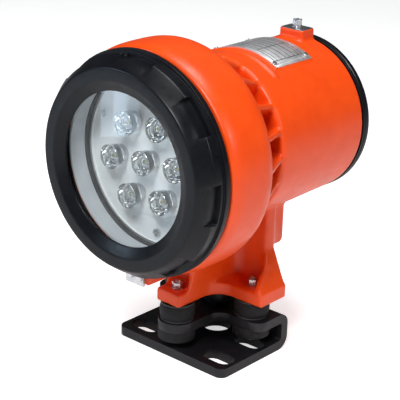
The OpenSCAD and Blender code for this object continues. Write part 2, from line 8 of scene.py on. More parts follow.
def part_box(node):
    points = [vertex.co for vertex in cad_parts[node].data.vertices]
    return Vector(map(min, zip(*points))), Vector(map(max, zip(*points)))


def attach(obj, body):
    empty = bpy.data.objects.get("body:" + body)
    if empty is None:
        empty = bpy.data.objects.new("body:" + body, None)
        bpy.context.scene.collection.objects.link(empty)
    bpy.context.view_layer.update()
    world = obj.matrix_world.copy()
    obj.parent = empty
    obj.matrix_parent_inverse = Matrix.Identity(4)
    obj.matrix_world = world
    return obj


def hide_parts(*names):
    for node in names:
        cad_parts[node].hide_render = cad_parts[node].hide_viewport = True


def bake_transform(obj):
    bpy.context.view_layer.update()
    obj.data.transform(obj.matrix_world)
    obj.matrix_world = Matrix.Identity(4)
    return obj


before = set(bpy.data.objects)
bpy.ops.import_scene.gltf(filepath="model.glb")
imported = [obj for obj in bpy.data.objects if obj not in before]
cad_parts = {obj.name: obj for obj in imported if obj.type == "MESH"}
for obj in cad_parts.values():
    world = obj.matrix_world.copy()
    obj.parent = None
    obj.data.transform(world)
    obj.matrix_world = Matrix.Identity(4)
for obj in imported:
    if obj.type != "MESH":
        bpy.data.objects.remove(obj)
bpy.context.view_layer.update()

MM = 0.001
SHARP_ANGLE = math.radians(35)

# ---------------------------------------------------------------- places, from the frame


def low(node):
    """The corner of a CAD node's box with the smallest coordinates."""
    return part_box(node)[0]


def high(node):
    """The corner of a CAD node's box with the largest coordinates."""
    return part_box(node)[1]


def middle(node):
    """The centre of a CAD node's box."""
    return (low(node) + high(node)) / 2


AXIS_Z = middle("bezel_ring").z
FACE_Y = low("bezel_ring").y
# lamp pieces are drawn as radius in mm and distance in mm behind the bezel's face
LAMP = Matrix(((1, 0, 0, 0), (0, 0, 1, FACE_Y), (0, 1, 0, AXIS_Z), (0, 0, 0, 1)))


def behind_face(y):
    """Distance in mm of a plane behind the bezel's face."""
    return (y - FACE_Y) / MM


def upright(x, y, z=0.0):
    """Places a piece that is drawn as radius and height."""
    return Matrix.Translation((x, y, z))


BUFFERS = {name: middle(name) for name in ("buffer_front", "buffer_left", "buffer_right")}
FLANGE_TOP = high("base_bracket").z
FOOT_BOTTOM = low("housing").z
BELL_RADIUS = (high("housing").x - low("housing").x) / 2 / MM
COVER_FACE = behind_face(high("rear_cover").y)
COVER_RADIUS = (high("rear_cover").x - low("rear_cover").x) / 2 / MM
BARREL_END = behind_face(high("housing").y)


# ---------------------------------------------------------------- mesh helpers


def rounded(corners):
    """Outline of (x, y, cut) corners, each rounded from cut before it to cut after it."""
    points = []
    for i, (x, y, cut) in enumerate(corners):
        corner = Vector((x, y))
        if cut == 0:
            points.append((x, y))
            continue
        before = (Vector(corners[i - 1][:2]) - corner).normalized() * cut + corner
        after = (Vector(corners[(i + 1) % len(corners)][:2]) - corner).normalized() * cut + corner
        for k in range(6):
            t = k / 5
            p = (1 - t) ** 2 * before + 2 * t * (1 - t) * corner + t * t * after
            points.append((p.x, p.y))
    return points


def add_piece(name, bm, body, material):
    """Makes a smooth-shaded object of a bmesh, riding on a body unless that is None."""
    bmesh.ops.remove_doubles(bm, verts=bm.verts, dist=1e-6)
    bmesh.ops.recalc_face_normals(bm, faces=bm.faces)
    mesh = bpy.data.meshes.new(name)
    bm.to_mesh(mesh)
    bm.free()
    mesh.shade_smooth()
    mesh.set_sharp_from_angle(angle=SHARP_ANGLE)
    mesh.materials.append(material)
    piece = bpy.data.objects.new(name, mesh)
    bpy.context.collection.objects.link(piece)
    if body:
        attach(piece, body)
    return piece


def spin(bm, outline, place, steps=192, shape=None, angles=None, closed=True):
    """Revolves an outline of (radius, height) in mm; shape(radius, height, angle) may move points."""
    if angles is None:
        angles = [2 * math.pi * k / steps for k in range(steps)]
    rings = []
    for angle in angles:
        ring = []
        for radius, along in outline:
            r, h = shape(radius, along, angle) if shape else (radius, along)
            ring.append(bm.verts.new(
                place @ Vector((r * math.cos(angle) * MM, r * math.sin(angle) * MM, h * MM))))
        rings.append(ring)
    last = len(outline) if closed else len(outline) - 1
    for i, ring in enumerate(rings):
        other = rings[(i + 1) % len(rings)]
        for k in range(last):
            j = (k + 1) % len(outline)
            corners = []
            for vert in (ring[k], ring[j], other[j], other[k]):
                if all((vert.co - c.co).length > 1e-7 for c in corners):
                    corners.append(vert)
            if len(corners) > 2:
                bm.faces.new(corners)


def turned(name, outline, place, body, slot, material, **options):
    """A piece made by revolving one outline."""
    bm = bmesh.new()
    spin(bm, outline, place, **options)
    return add_piece(name, bm, body, material)


def thread_shape(pitch, depth):
    """A triangular screw thread cut into the outline."""
    def shape(radius, along, angle):
        phase = (along / pitch - angle / (2 * math.pi)) % 1
        return radius - depth * abs(2 * phase - 1), along
    return shape


def thread_rows(radius, start, end, pitch):
    """Outline points along a thread, six to a turn."""
    count = round((end - start) / pitch * 6)
    return [(radius, start + (end - start) * k / count) for k in range(count + 1)]


def add_box(bm, low_corner, high_corner, bevel=0.0):
    """A box with bevelled edges, corners in metres."""
    made = bmesh.ops.create_cube(bm, size=1)["verts"]
    size = Vector(high_corner) - Vector(low_corner)
    centre = (Vector(high_corner) + Vector(low_corner)) / 2
    for vert in made:
        vert.co = Vector(vert.co[i] * size[i] + centre[i] for i in range(3))
    if bevel:
        edges = list({edge for vert in made for edge in vert.link_edges})
        bmesh.ops.bevel(bm, geom=edges, offset=bevel, segments=3, affect="EDGES", profile=0.5)


def add_nut(bm, place, corner_radius, height, bore):
    """A hexagon nut with turned chamfers on both ends."""
    flat_radius = corner_radius * math.cos(math.pi / 6)

    def hexagon(radius, along, angle):
        side = (angle + math.pi / 6) % (math.pi / 3) - math.pi / 6
        return (min(radius, flat_radius / math.cos(side)) if radius > bore + 0.3 else radius), along
    edge = corner_radius - flat_radius
    outline = [(bore, 0.4), (bore + 0.25, 0), (flat_radius - 0.2, 0), (corner_radius, edge * 0.55),
               (corner_radius, height - edge * 0.55), (flat_radius - 0.2, height),
               (bore + 0.25, height), (bore, height - 0.4)]
    spin(bm, outline, place, steps=72, shape=hexagon)


def soften(node, width):
    """Rounds the sharp edges of a CAD node as it is shown."""
    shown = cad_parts[node]
    weld = shown.modifiers.new("weld", "WELD")
    weld.merge_threshold = 1e-5
    flat = shown.modifiers.new("flat", "DECIMATE")
    flat.decimate_type = "DISSOLVE"
    flat.angle_limit = math.radians(0.6)
    bevel = shown.modifiers.new("bevel", "BEVEL")
    bevel.width = width * MM
    bevel.segments = 2
    bevel.limit_method = "ANGLE"
    bevel.angle_limit = math.radians(32)
    bevel.harden_normals = False


# ---------------------------------------------------------------- materials


def object_coordinates(material):
    """The X, Y and Z of a surface point, fixed to the object."""
    nodes = material.node_tree.nodes
    place = nodes.new("ShaderNodeTexCoord")
    split = nodes.new("ShaderNodeSeparateXYZ")
    material.node_tree.links.new(place.outputs["Object"], split.inputs["Vector"])
    return split.outputs


def noise(material, size_mm, detail=3.0, roughness=0.5, stretch=None):
    """A noise texture fixed to the object, with features of a size in mm."""
    nodes, links = material.node_tree.nodes, material.node_tree.links
    place = nodes.new("ShaderNodeTexCoord")
    texture = nodes.new("ShaderNodeTexNoise")
    texture.inputs["Scale"].default_value = 1 / (size_mm * MM)
    texture.inputs["Detail"].default_value = detail
    texture.inputs["Roughness"].default_value = roughness
    source = place.outputs["Object"]
    if stretch:
        mapping = nodes.new("ShaderNodeMapping")
        mapping.inputs["Scale"].default_value = stretch
        links.new(source, mapping.inputs["Vector"])
        source = mapping.outputs["Vector"]
    links.new(source, texture.inputs["Vector"])
    return texture.outputs["Fac"]


def remap(material, value, from_min, from_max, to_min, to_max):
    """Stretches a value from one range to another, within limits."""
    node = material.node_tree.nodes.new("ShaderNodeMapRange")
    for socket, number in (("From Min", from_min), ("From Max", from_max), ("To Min", to_min),
                           ("To Max", to_max)):
        node.inputs[socket].default_value = number
    material.node_tree.links.new(value, node.inputs["Value"])
    return node.outputs["Result"]


def mix(material, factor, first, second):
    """Blends colours: each is a colour or another mix's output."""
    node = material.node_tree.nodes.new("ShaderNodeMix")
    node.data_type = "RGBA"
    material.node_tree.links.new(factor, node.inputs[0])
    for socket, colour in ((node.inputs[6], first), (node.inputs[7], second)):
        if isinstance(colour, tuple):
            socket.default_value = (*colour, 1)
        else:
            material.node_tree.links.new(colour, socket)
    return node.outputs[2]


def surface(name, colour, second, roughness, patch=25.0, metallic=0.0, bumps=(), edge_highlight=None,
            stretch=None, **sockets):
    """A Principled material with patchy colour and roughness, bumps and a painted highlight on sharp
    edges.

    bumps are (size in mm, height in mm); edge_highlight is (colour, amount), a paler colour painted
    onto sharp edges as a highlight."""
    material = bpy.data.materials.new(name)
    material.use_nodes = True
    nodes, links = material.node_tree.nodes, material.node_tree.links
    shader = nodes["Principled BSDF"]
    shader.inputs["Metallic"].default_value = metallic
    for socket, value in sockets.items():
        shader.inputs[socket.replace("_", " ")].default_value = value
    patches = noise(material, patch, 4, 0.6, stretch)
    tint = mix(material, remap(material, patches, 0.3, 0.7, 0, 1), colour, second)
    # painted highlight: pointiness finds the sharp edges, which are painted paler as if they caught
    # the light
    if edge_highlight:
        geometry = nodes.new("ShaderNodeNewGeometry")
        edges = remap(material, geometry.outputs["Pointiness"], 0.53, 0.6, 0, edge_highlight[1])
        tint = mix(material, edges, tint, edge_highlight[0])
    links.new(tint, shader.inputs["Base Color"])
    links.new(remap(material, noise(material, patch / 3, 3, 0.6, stretch), 0.3, 0.7, *roughness),
              shader.inputs["Roughness"])
    normal = None
    for size, height in bumps:
        bump = nodes.new("ShaderNodeBump")
        bump.inputs["Strength"].default_value = 1.0
        bump.inputs["Distance"].default_value = height * MM
        links.new(noise(material, size, 2, 0.5, stretch), bump.inputs["Height"])
        if normal:
            links.new(normal, bump.inputs["Normal"])
        normal = bump.outputs["Normal"]
    if normal:
        links.new(normal, shader.inputs["Normal"])
    return material


def clear_glass():
    """Thin clear glass: a sharp reflection over a transparent body."""
    material = bpy.data.materials.new("front_glass")
    material.use_nodes = True
    nodes, links = material.node_tree.nodes, material.node_tree.links
    nodes.remove(nodes["Principled BSDF"])
    through = nodes.new("ShaderNodeBsdfTransparent")
    shine = nodes.new("ShaderNodeBsdfGlossy")
    shine.inputs["Roughness"].default_value = 0.02
    tint = mix(material, noise(material, 40, 2), (0.955, 0.975, 0.975), (0.97, 0.985, 0.985))
    links.new(tint, through.inputs["Color"])
    facing = nodes.new("ShaderNodeLayerWeight")
    facing.inputs["Blend"].default_value = 0.5
    grazing = nodes.new("ShaderNodeMath")
    grazing.operation = "POWER"
    grazing.inputs[1].default_value = 4
    links.new(facing.outputs["Facing"], grazing.inputs[0])
    blend = nodes.new("ShaderNodeMixShader")
    links.new(remap(material, grazing.outputs[0], 0, 1, 0.035, 1), blend.inputs["Fac"])
    links.new(through.outputs["BSDF"], blend.inputs[1])
    links.new(shine.outputs["BSDF"], blend.inputs[2])
    links.new(blend.outputs["Shader"], nodes["Material Output"].inputs["Surface"])
    return material


def enamel():
    """Orange enamel over a sand casting, with the earth boss's top left bare."""
    # the paler orange on the sharp edges is a painted highlight
    material = surface("orange_enamel", (0.76, 0.060, 0.003), (0.84, 0.074, 0.005), (0.30, 0.42),
                       patch=30, bumps=((6.0, 0.12), (1.6, 0.045)), edge_highlight=((1.0, 0.16, 0.05), 0.25),
                       Specular_IOR_Level=0.38)
    nodes, links = material.node_tree.nodes, material.node_tree.links
    shader = nodes["Principled BSDF"]
    at = object_coordinates(material)
    top = low("earth_washers").z
    boss = low("earth_washers").y - 12 * MM
    high_enough = remap(material, at["Z"], top - 0.6 * MM, top - 0.35 * MM, 0, 1)
    far_enough = remap(material, at["Y"], boss, boss + 0.1 * MM, 0, 1)
    both = nodes.new("ShaderNodeMath")
    both.operation = "MULTIPLY"
    links.new(high_enough, both.inputs[0])
    links.new(far_enough, both.inputs[1])
    bare = both.outputs[0]
    painted = shader.inputs["Base Color"].links[0].from_socket
    links.new(mix(material, bare, painted, (0.42, 0.43, 0.45)), shader.inputs["Base Color"])
    links.new(bare, shader.inputs["Metallic"])
    return material


def plate_marks():
    """Brushed aluminium with a border and a ruled table, without any lettering."""
    material = surface("nameplate", (0.78, 0.79, 0.80), (0.88, 0.88, 0.89), (0.42, 0.55), patch=8,
                       metallic=1.0, bumps=((1.2, 0.02),), stretch=(0.12, 1, 1))
    nodes, links = material.node_tree.nodes, material.node_tree.links
    shader = nodes["Principled BSDF"]
    at = object_coordinates(material)
    centre = middle("nameplate")
    half = (high("nameplate") - low("nameplate")) / 2

    def maths(operation, first, second=None):
        """A Math node on numbers or on other nodes' outputs."""
        node = nodes.new("ShaderNodeMath")
        node.operation = operation
        for socket, value in zip(node.inputs, (first, second)):
            if value is None:
                continue
            if isinstance(value, (int, float)):
                socket.default_value = value
            else:
                links.new(value, socket)
        return node.outputs[0]
    across = maths("SUBTRACT", at["X"], centre.x)
    along = maths("SUBTRACT", at["Y"], centre.y)
    side = maths("ABSOLUTE", across)
    length = maths("ABSOLUTE", along)
    line = 0.35 * MM

    def near(value, target):
        """1 within a line's half width of a target, 0 elsewhere."""
        return maths("LESS_THAN", maths("ABSOLUTE", maths("SUBTRACT", value, target)), line)
    inside = maths("MULTIPLY", maths("LESS_THAN", side, half.x - 7 * MM),
                   maths("LESS_THAN", length, half.y - 6 * MM))
    border = maths("MAXIMUM",
                   maths("MULTIPLY", near(side, half.x - 7 * MM),
                         maths("LESS_THAN", length, half.y - 5.6 * MM)),
                   maths("MULTIPLY", near(length, half.y - 6 * MM),
                         maths("LESS_THAN", side, half.x - 6.6 * MM)))
    pitch = 6.2 * MM
    phase = maths("ABSOLUTE", maths("SUBTRACT", maths("FRACT", maths("DIVIDE", along, pitch)), 0.5))
    rows = maths("LESS_THAN", phase, line / pitch)
    columns = near(side, half.x * 0.28)
    ruled = maths("MULTIPLY", inside, maths("MAXIMUM", rows, columns))
    marks = maths("MAXIMUM", border, ruled)
    painted = shader.inputs["Base Color"].links[0].from_socket
    links.new(mix(material, marks, painted, (0.05, 0.05, 0.055)), shader.inputs["Base Color"])
    return material


ORANGE = enamel()
# the paler grey on the sharp edges is a painted highlight
BEZEL_BLACK = surface("bezel_black", (0.0035, 0.0038, 0.0055), (0.0065, 0.007, 0.0095), (0.27, 0.38),
                      patch=20, bumps=((0.9, 0.012),), edge_highlight=((0.10, 0.10, 0.11), 0.3),
                      Specular_IOR_Level=0.2)
# the paler grey on the sharp edges is a painted highlight
BRACKET_BLACK = surface("bracket_black", (0.006, 0.006, 0.0075), (0.012, 0.012, 0.014), (0.28, 0.45),
                        patch=14, bumps=((0.7, 0.02), (5, 0.05)), edge_highlight=((0.12, 0.12, 0.13), 0.5),
                        Specular_IOR_Level=0.25)
RUBBER = surface("rubber", (0.006, 0.006, 0.007), (0.011, 0.011, 0.012), (0.55, 0.75), patch=12,
                 bumps=((0.6, 0.03),), Specular_IOR_Level=0.3)
ZINC = surface("zinc", (0.52, 0.53, 0.55), (0.66, 0.66, 0.66), (0.22, 0.38), patch=5, metallic=1.0,
               bumps=((1.5, 0.02),))
ALUMINIUM = surface("aluminium", (0.60, 0.61, 0.62), (0.70, 0.70, 0.71), (0.28, 0.40), patch=9,
                    metallic=1.0, bumps=((1.5, 0.015),))
WHITE_ENAMEL = surface("white_enamel", (0.56, 0.58, 0.61), (0.64, 0.66, 0.69), (0.35, 0.5),
                       patch=18, bumps=((1.5, 0.01),))
BOARD_WHITE = surface("board_white", (0.80, 0.81, 0.83), (0.88, 0.89, 0.90), (0.3, 0.45), patch=9,
                      bumps=((2.5, 0.01),))
CHROME = surface("chromed", (0.38, 0.39, 0.41), (0.70, 0.70, 0.72), (0.04, 0.10), patch=4,
                 metallic=1.0, bumps=((3, 0.02),))
LENS = surface("lens", (0.93, 0.95, 0.96), (0.97, 0.98, 0.98), (0.01, 0.03), patch=6,
               bumps=((2.5, 0.05),), Transmission_Weight=1.0, IOR=1.58)
PHOSPHOR = surface("phosphor", (0.80, 0.62, 0.12), (0.88, 0.72, 0.2), (0.3, 0.4), patch=2,
                   bumps=((0.5, 0.01),))
CERAMIC = surface("ceramic", (0.75, 0.75, 0.72), (0.82, 0.82, 0.80), (0.35, 0.5), patch=3,
                  bumps=((0.6, 0.01),))
BRASS = surface("brass", (0.62, 0.44, 0.16), (0.75, 0.56, 0.24), (0.25, 0.4), patch=4, metallic=1.0,
                bumps=((1, 0.01),))
BOARD_GREEN = surface("board_green", (0.01, 0.10, 0.03), (0.02, 0.16, 0.06), (0.25, 0.4), patch=7,
                      bumps=((2, 0.02),))
# dark plastic on the driver's parts; on the spacer ring the same dark is painted shade
DARK_PLASTIC_AND_SHADE = surface("dark_plastic", (0.02, 0.02, 0.022), (0.035, 0.035, 0.04), (0.4, 0.6),
                       patch=8, bumps=((0.8, 0.02),))
LEAD_RED = surface("lead_red", (0.45, 0.02, 0.02), (0.55, 0.03, 0.03), (0.35, 0.5), patch=4,
                   bumps=((1, 0.01),))
NAMEPLATE = plate_marks()

NODE_FINISH = {
    "base_bracket": BRACKET_BLACK, "buffer_pads_lower": RUBBER, "gland_seal": RUBBER,
    "glass_gasket": RUBBER, "rear_gasket": RUBBER, "gland_body": BEZEL_BLACK,
    "gland_nut": BEZEL_BLACK, "bezel_slip_ring": CERAMIC, "led_plate": BOARD_WHITE,
    "led_board": BOARD_WHITE, "thermal_pad": CERAMIC, "lens_holders": CHROME,
    "driver_tray": ALUMINIUM, "board_standoffs": BRASS, "driver_board": BOARD_GREEN,
    "driver_parts": DARK_PLASTIC_AND_SHADE, "terminal_block": CERAMIC, "led_leads": LEAD_RED,
    "nameplate": NAMEPLATE, "nameplate_rivets": ALUMINIUM, "front_glass": clear_glass(),
}


# ---------------------------------------------------------------- the orange casting

THREAD_PITCH = 2
THREAD_DEPTH = 0.6
NOSE_CREST = 88.9
NOSE_START = 13.2


def cast_copy(node, voxel_mm):
    """A remeshed copy of a CAD node's mesh, in mm, as vertex places and the mesh."""
    copy = bpy.data.objects.new(node + "_copy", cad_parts[node].data.copy())
    bpy.context.collection.objects.link(copy)
    remesh = copy.modifiers.new("remesh", "REMESH")
    remesh.mode = "VOXEL"
    remesh.voxel_size = voxel_mm * MM
    copy_mesh = bpy.data.meshes.new_from_object(
        copy.evaluated_get(bpy.context.evaluated_depsgraph_get()))
    bpy.data.objects.remove(copy)
    places = np.empty(len(copy_mesh.vertices) * 3)
    copy_mesh.vertices.foreach_get("co", places)
    return copy_mesh, places.reshape(-1, 3) / MM


def smooth_corners(mesh, places, filling, rounds):
    """Smooths the mesh a little everywhere, then fills its inner corners by the filling weight."""
    count = len(places)
    edges = np.empty(len(mesh.edges) * 2, int)
    mesh.edges.foreach_get("vertices", edges)
    first, second = edges.reshape(-1, 2).T
    ends = np.concatenate([first, second])
    others = np.concatenate([second, first])
    degree = np.bincount(ends, minlength=count)[:, None]

    def towards_neighbours(points):
        """The way from each point to the mean of its neighbours."""
        sums = np.stack([np.bincount(ends, points[others, k], count) for k in range(3)], 1)
        return sums / degree - points
    for _ in range(5):
        places = places + 0.5 * towards_neighbours(places)
    normals = np.empty(count * 3)
    for step in range(rounds):
        if step % 8 == 0:
            mesh.vertices.foreach_set("co", (places * MM).ravel())
            mesh.update()
            mesh.vertex_normals.foreach_get("vector", normals)
            outward = normals.reshape(-1, 3)
        lift = np.sum(towards_neighbours(places) * outward, 1)
        places = places + (0.6 * np.maximum(lift, 0) * filling)[:, None] * outward
    return places


def chaikin(points, rounds=3):
    """Cuts an open outline's corners, again and again, into a curve."""
    for _ in range(rounds):
        first, second = points[:-1], points[1:]
        cut = np.stack([0.75 * first + 0.25 * second, 0.25 * first + 0.75 * second], 1)
        points = np.concatenate([points[:1], cut.reshape(-1, 2), points[-1:]])
    return points


def add_casting():
    """The housing as a sand casting: rounded edges, filled corners and true turned surfaces."""
    mesh, places = cast_copy("housing", 1.2)

    def lamp_places(points):
        """Radius from the lamp's axis and distance behind the bezel's face."""
        across, up = points[:, 0], points[:, 2] - AXIS_Z / MM
        return np.hypot(across, up), points[:, 1] - FACE_Y / MM
    radius, depth = lamp_places(places)
    inside = ((depth < 60) & (radius < 89)) | ((depth < 136) & (radius < 53)) \
        | ((depth > 133) & (radius < 69))
    foot = np.clip((125 - places[:, 2]) / 15, 0, 1)
    filling = np.where(inside, 0, 0.08 + 0.92 * foot)
    places = smooth_corners(mesh, places, filling, 90)

    radius, depth = lamp_places(places)
    edge = BELL_RADIUS
    bell = chaikin(np.array([[33, edge - 4], [37, edge - 1.7], [45, edge], [70, edge],
                             [78, edge - 1], [84, edge - 3.5], [86, edge - 6]]))
    barrel = np.array([[128.5, 77.0], [BARREL_END, 75.0]])
    # a point closer than full to the turned surface goes onto it, one past none stays
    for outline, start, end, full, none in ((bell, 34, 85, 0.45, 0.75),
                                            (barrel, 129.5, 246.5, 0.3, 0.5)):
        true = np.interp(depth, outline[:, 0], outline[:, 1])
        off = np.abs(true - radius)
        pull = np.clip((none - off) / (none - full), 0, 1)
        pull *= np.clip((depth - start) / 2, 0, 1) * np.clip((end - depth) / 2, 0, 1)
        scale = 1 + pull * (true / np.maximum(radius, 1) - 1)
        places[:, 0] *= scale
        places[:, 2] = AXIS_Z / MM + (places[:, 2] - AXIS_Z / MM) * scale
    mesh.vertices.foreach_set("co", (places * MM).ravel())
    mesh.update()
    mesh.shade_smooth()
    mesh.materials.clear()
    mesh.materials.append(ORANGE)
    casting = bpy.data.objects.new("casting", mesh)
    bpy.context.collection.objects.link(casting)
    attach(casting, "head")
    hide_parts("housing")
    # the thread that the bezel screws onto
    nose_end = behind_face(high("bezel_ring").y) + 2.5
    turned("nose_thread", thread_rows(NOSE_CREST, NOSE_START, nose_end, THREAD_PITCH)
           + [(NOSE_CREST - 1, nose_end), (NOSE_CREST - 1, NOSE_START)],
           LAMP, "head", "orange_paint", ALUMINIUM,
           shape=thread_shape(THREAD_PITCH, THREAD_DEPTH), steps=160)


# ---------------------------------------------------------------- bezel and rear cover

NOTCHES = 8
NOTCH_WIDTH = math.radians(21)
NOTCH_TURN = math.radians(40)
NOTCH_FLOOR = 93.5
NOTCH_END = 20.0
COVER_CREST = 65.6
SPANNER_HOLES = 4
SPANNER_RING = 0.04


def notch_distance(angle):
    """Angle from the nearest notch's centre."""
    step = 2 * math.pi / NOTCHES
    return abs((angle - NOTCH_TURN + step / 2) % step - step / 2)


def bezel_shape(radius, along, angle):
    """Cuts the spanner notches, with slightly sloping walls."""
    if radius < NOTCH_FLOOR or along > NOTCH_END + 0.5:
        return radius, along
    cut = min(max((NOTCH_WIDTH / 2 - notch_distance(angle)) / math.radians(0.35) + 0.5, 0), 1)
    if along > NOTCH_END:
        cut *= 1 - (along - NOTCH_END) / 0.5
    return radius + (NOTCH_FLOOR - radius) * cut, along


def bezel_angles():
    """Close steps at the notches' walls, wide steps between."""
    angles = []
    step = 2 * math.pi / NOTCHES
    wall = NOTCH_WIDTH / 2
    fine = [math.radians(a) for a in (-0.25, -0.16, 0, 0.16, 0.25)]
    for i in range(NOTCHES):
        centre = NOTCH_TURN + i * step
        angles += [centre - wall + a for a in fine]
        angles += [centre - wall + (2 * wall) * k / 11 for k in range(1, 11)]
        angles += [centre + wall + a for a in fine]
        angles += [centre + wall + (step - 2 * wall) * k / 13 for k in range(1, 13)]
    return angles


def add_bezel():
    """The front ring, with its lip, spanner notches and flange."""
    outline = rounded([
        (67.3, 5.1, 0.5), (77, 0, 1.6), (87.7, 0, 1.6), (93.5, 8.37, 0), (97.4, 14, 1.2),
        (97.4, NOTCH_END, 0), (97.4, NOTCH_END + 0.5, 0), (97.4, 24.5, 0.5), (99.5, 24.5, 0.5),
        (99.5, 29.5, 0.7), (89, 29.5, 0.3), (89, 11.5, 0), (85, 11.5, 0), (85, 7, 0),
        (67.3, 7, 0.3)])
    bezel = turned("bezel", outline, LAMP, "bezel", "black_anodised", BEZEL_BLACK,
                   shape=bezel_shape, angles=bezel_angles())
    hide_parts("bezel_ring")


def add_rear_cover():
    """The screwed rear cover, with a groove in its rim and four blind spanner holes."""
    face = COVER_FACE
    front = BARREL_END + 1
    outline = rounded([
        (0, face - 1.5, 0), (53.5, face - 1.5, 0.8), (56, face, 0.8),
        (COVER_RADIUS - 2, face, 1.6), (COVER_RADIUS, face - 3, 1.6), (COVER_RADIUS, front + 4, 0),
        (COVER_RADIUS - 0.7, front + 3.4, 0), (COVER_RADIUS - 0.7, front + 2.6, 0),
        (COVER_RADIUS, front + 2, 0), (COVER_RADIUS, front, 0.6), (64.6, front, 0.4),
        (64.6, front - 15, 0.5), (58, front - 15, 0.5), (58, face - 7, 1), (0, face - 7, 0)])
    cover = bmesh.new()
    spin(cover, outline, LAMP, closed=False)
    made = add_piece("rear_cover_turned", cover, "cover", BEZEL_BLACK)
    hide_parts("rear_cover")
    # blind spanner holes, sunk into the face
    cutter_mesh = bmesh.new()
    for k in range(SPANNER_HOLES):
        angle = 2 * math.pi / SPANNER_HOLES * k
        place = LAMP @ Matrix.Translation((SPANNER_RING * math.cos(angle),
                                           SPANNER_RING * math.sin(angle), 0))
        spin(cutter_mesh, [(0, face - 5), (2, face - 5), (3.6, face - 4.2), (3.6, face - 1.9),
                           (4.4, face - 1.1), (4.4, face + 2), (0, face + 2)],
             place, steps=40, closed=False)
    cutter = add_piece("spanner_holes", cutter_mesh, "cover", BEZEL_BLACK)
    cut = made.modifiers.new("holes", "BOOLEAN")
    cut.object = cutter
    cut.solver = "EXACT"
    made.data = apply_modifiers(made)
    bpy.data.objects.remove(cutter)
    turned("cover_thread", thread_rows(COVER_CREST, front - 14.5, front - 0.6, THREAD_PITCH)
           + [(COVER_CREST - 1.2, front - 0.6), (COVER_CREST - 1.2, front - 14.5)],
           LAMP, "cover", "black_anodised", BEZEL_BLACK,
           shape=thread_shape(THREAD_PITCH, THREAD_DEPTH), steps=128)


def apply_modifiers(piece):
    """The piece's mesh with its modifiers' result in it."""
    mesh = bpy.data.meshes.new_from_object(
        piece.evaluated_get(bpy.context.evaluated_depsgraph_get()))
    piece.modifiers.clear()
    mesh.shade_smooth()
    mesh.set_sharp_from_angle(angle=SHARP_ANGLE)
    return mesh


# ---------------------------------------------------------------- buffers and their fasteners

STUD_RADIUS = 2.9
STUD_PITCH = 1
NUT_CORNER = 5.75
NUT_BORE = 3.05
WASHER_RADIUS = 6


def add_buffers():
    """Bulged rubber buffers between steel discs, each with its studs, washers and nuts."""
    bottom, top = low("buffer_front").z / MM, high("buffer_front").z / MM
    radius = (high("buffer_front").x - low("buffer_front").x) / 2 / MM
    span = top - bottom
    sides = [(radius - 1.6 + 1.5 * math.sin(math.pi * k / 12) ** 0.7, bottom + span * k / 12)
             for k in range(13)]
    outline = [(3.2, bottom), (radius - 2.4, bottom)] + sides + [(radius - 2.4, top), (3.2, top)]
    for name, at in BUFFERS.items():
        rubber = turned(name + "_rubber", outline, upright(at.x, at.y), None, "rubber", RUBBER,
                        steps=72)
        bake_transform(rubber)
        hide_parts(name)
    stud = STUD_RADIUS
    for end in ("lower", "upper"):
        discs, nuts, washers = (f"buffer_{part}_{end}" for part in ("discs", "nuts", "washers"))
        body = "bracket" if end == "lower" else "head"
        disc_radius = radius - 1
        nut_low, nut_high = low(nuts).z / MM, high(nuts).z / MM
        washer_low, washer_high = low(washers).z / MM, high(washers).z / MM
        stud_mesh, nut_mesh, washer_mesh = bmesh.new(), bmesh.new(), bmesh.new()
        for at in BUFFERS.values():
            place = upright(at.x, at.y)
            if end == "lower":
                tip, root, face = low(discs).z / MM, FLANGE_TOP / MM, high(discs).z / MM
                rows = thread_rows(stud, tip + 0.6, root, STUD_PITCH)
                head = [(disc_radius - 0.3, root), (disc_radius, root + 0.4),
                        (disc_radius, face), (0, face)]
            else:
                tip, root, face = high(discs).z / MM, FOOT_BOTTOM / MM, low(discs).z / MM
                rows = thread_rows(stud, tip - 0.6, root, -STUD_PITCH)
                head = [(disc_radius - 0.3, root), (disc_radius, root - 0.4),
                        (disc_radius, face), (0, face)]
            ridges = thread_shape(STUD_PITCH, 0.35)

            def shape(r, h, angle, ridges=ridges, root=root):
                """Cuts the thread into the stud and leaves the disc alone."""
                on_stud = abs(r - stud) < 0.01 and abs(h - root) > 0.5
                return ridges(r, h, angle) if on_stud else (r, h)
            spin(stud_mesh, [(0, tip), (stud - 0.7, tip)] + rows + head, place, steps=48,
                 shape=shape, closed=False)
            add_nut(nut_mesh, place @ upright(0, 0, nut_low * MM), NUT_CORNER,
                    nut_high - nut_low, NUT_BORE)
            spin(washer_mesh, rounded([(3.1, washer_low, 0.1), (WASHER_RADIUS, washer_low, 0.25),
                                       (WASHER_RADIUS, washer_high, 0.25),
                                       (3.1, washer_high, 0.1)]), place, steps=64)
        for part, built in ((discs, stud_mesh), (nuts, nut_mesh), (washers, washer_mesh)):
            piece = add_piece(part + "_turned", built, body, ZINC)
            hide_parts(part)
            if part == discs:
                paint_discs(piece)


def paint_discs(piece):
    """Black on the buffers' discs, bright zinc on their studs."""
    piece.data.materials.append(BRACKET_BLACK)
    for face in piece.data.polygons:
        from_axis = min(math.hypot(face.center.x - at.x, face.center.y - at.y)
                        for at in BUFFERS.values())
        if from_axis > (STUD_RADIUS + 0.3) * MM:
            face.material_index = 1


# ---------------------------------------------------------------- light unit


def lens_places():
    """Centre of the middle lens, and of the six round it."""
    count = 6
    ring = 37 * MM
    turn = math.radians(5)
    return [(0, 0)] + [(ring * math.cos(turn + 2 * math.pi * k / count),
                        ring * math.sin(turn + 2 * math.pi * k / count)) for k in range(count)]


